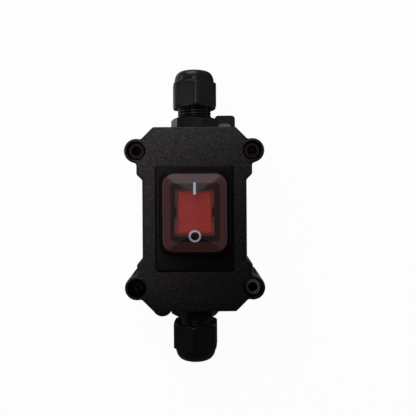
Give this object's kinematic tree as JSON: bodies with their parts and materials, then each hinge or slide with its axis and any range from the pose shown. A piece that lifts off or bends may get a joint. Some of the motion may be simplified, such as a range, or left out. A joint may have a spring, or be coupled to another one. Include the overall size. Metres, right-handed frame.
{
  "type": "electrical switch box",
  "caption": "Sealed black switch box with a red lamp rocker under a clear hipped boot, screw ears, fixing lugs and a hexagonal cable gland at each end.",
  "frame": {"origin": "centre of the box on its flat back face", "axes": "+Z out of the front, +Y along the glands towards the I side of the rocker, +X to the right as seen from the front"},
  "size_m": [0.0738, 0.1631, 0.0496],
  "materials": {
    "black_case": "black moulded plastic, fine grain",
    "black_gland": "black nylon, satin",
    "black_switch": "black switch plastic, satin",
    "seal_rubber": "black seal rubber",
    "clear_boot": "clear soft plastic",
    "red_lens": "translucent red plastic, ribbed",
    "screw_steel": "zinc plated steel",
    "spring_steel": "drawn spring wire",
    "brass": "bare brass",
    "lamp_glass": "clear lamp glass",
    "resistor_coat": "coated ceramic"
  },
  "bodies": {
    "box": {"base": "black_case", "cover": "black_case", "cover_gasket": "seal_rubber", "cover_screws": "screw_steel", "screw_inserts": "brass", "switch_gasket": "seal_rubber", "switch_housing": "black_switch", "boot": "clear_boot", "common_terminals": "brass", "line_terminals": "brass", "lamp": "lamp_glass", "resistor": "resistor_coat", "upper_gland_body": "black_gland", "upper_gland_washer": "seal_rubber", "upper_lock_nut": "black_gland", "upper_gland_seal": "seal_rubber", "lower_gland_body": "black_gland", "lower_gland_washer": "seal_rubber", "lower_lock_nut": "black_gland", "lower_gland_seal": "seal_rubber"},
    "rocker": {"rocker_button": "red_lens", "rocker_carrier": "black_switch", "plungers": "black_switch", "plunger_springs": "spring_steel"},
    "contacts": {"contact_bridges": "brass"},
    "upper_nut": {"upper_dome_nut": "black_gland"},
    "lower_nut": {"lower_dome_nut": "black_gland"}
  },
  "joints": [
    {"name": "rocker_switch", "type": "hinge", "parent": "box", "child": "rocker", "pos_m": [0, 0.0034, 0.0386], "axis": [1, 0, 0], "range_deg": [0, 14]},
    {"name": "contact_rock", "type": "hinge", "parent": "box", "child": "contacts", "pos_m": [0, 0.0034, 0.0268], "axis": [1, 0, 0], "range_deg": [-10.5, 0]},
    {"name": "upper_nut_turn", "type": "hinge", "parent": "box", "child": "upper_nut", "pos_m": [0, 0.0719, 0.0145], "axis": [0, 1, 0], "continuous": true},
    {"name": "lower_nut_turn", "type": "hinge", "parent": "box", "child": "lower_nut", "pos_m": [0, -0.0702, 0.0145], "axis": [0, -1, 0], "continuous": true}
  ],
  "couplings": [
    {"joint": "contact_rock", "follows": "rocker_switch", "ratio": -0.71428}
  ]
}
